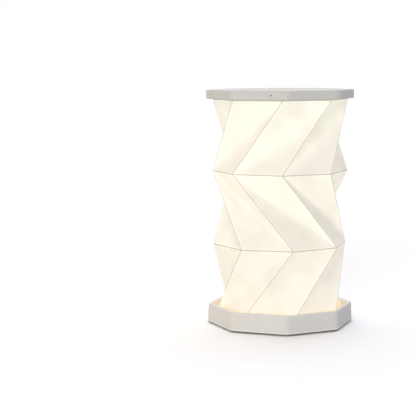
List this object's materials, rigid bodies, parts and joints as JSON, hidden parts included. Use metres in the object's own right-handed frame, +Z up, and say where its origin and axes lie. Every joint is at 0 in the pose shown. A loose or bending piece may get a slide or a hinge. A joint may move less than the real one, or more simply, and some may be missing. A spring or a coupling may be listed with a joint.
{
  "type": "folding table lamp",
  "caption": "Cordless table lamp: octagonal lid with light and button, twist-folded paper tube, and a tray that the paper folds down into.",
  "frame": {"origin": "on the table, under the middle of the feet", "axes": "+Z up along the lamp's axis; a corner of the octagon points along -Y, the front; the charging socket is on a rear flat"},
  "size_m": [0.135, 0.135, 0.215],
  "materials": {
    "white_plastic": "fine matt moulded plastic, warm white",
    "inner_plastic": "plain moulded plastic",
    "copper": "spun copper colour, satin",
    "paper": "waxed white paper, lit from inside",
    "card": "white card",
    "steel": "zinc plated",
    "magnet": "nickel plated",
    "rubber": "soft matt",
    "circuit_board": "green solder mask",
    "led_board_white": "white solder mask on aluminium",
    "chip_black": "moulded resin",
    "led_face": "phosphor under clear resin",
    "battery_foil": "foil pouch",
    "opal": "opal diffuser",
    "clear_plastic": "clear rod"
  },
  "bodies": {
    "base": {"base_tray": "white_plastic", "weight_plate": "steel", "bottom_cover": "inner_plastic", "rubber_feet": "rubber", "base_magnets": "magnet", "shade_bottom_frame": "card", "pleated_shade": "paper"},
    "light_cup": {"light_diffuser": "opal"},
    "lid": {"lid_shell": "white_plastic", "lid_cover": "white_plastic", "lid_screws": "steel", "lid_magnets": "magnet", "button_ring": "white_plastic", "tactile_switch": "chip_black", "control_board": "circuit_board", "board_chips": "chip_black", "board_screws": "steel", "board_connector": "chip_black", "charging_socket": "steel", "charge_led": "led_face", "light_pipe": "clear_plastic", "battery_left": "battery_foil", "battery_right": "battery_foil", "battery_tabs": "steel", "led_board": "led_board_white", "led_chips": "led_face", "shade_top_frame": "card"},
    "button": {"power_button": "copper"}
  },
  "joints": [
    {"name": "fold_slide", "type": "slide", "parent": "base", "child": "light_cup", "axis": [0, 0, 1], "range_m": [-0.1884, 0], "deforming": ["pleated_shade"]},
    {"name": "fold_twist", "type": "hinge", "parent": "light_cup", "child": "lid", "pos_m": [0, 0, 0.2078], "axis": [0, 0, 1], "range_deg": [0, 45]},
    {"name": "button_press", "type": "slide", "parent": "lid", "child": "button", "axis": [0, 0, -1], "range_m": [0, 0.00035], "stiffness_N_per_m": 2500}
  ],
  "couplings": [
    {"joint": "fold_twist", "follows": "fold_slide", "rad_per_m": -4.1688}
  ]
}
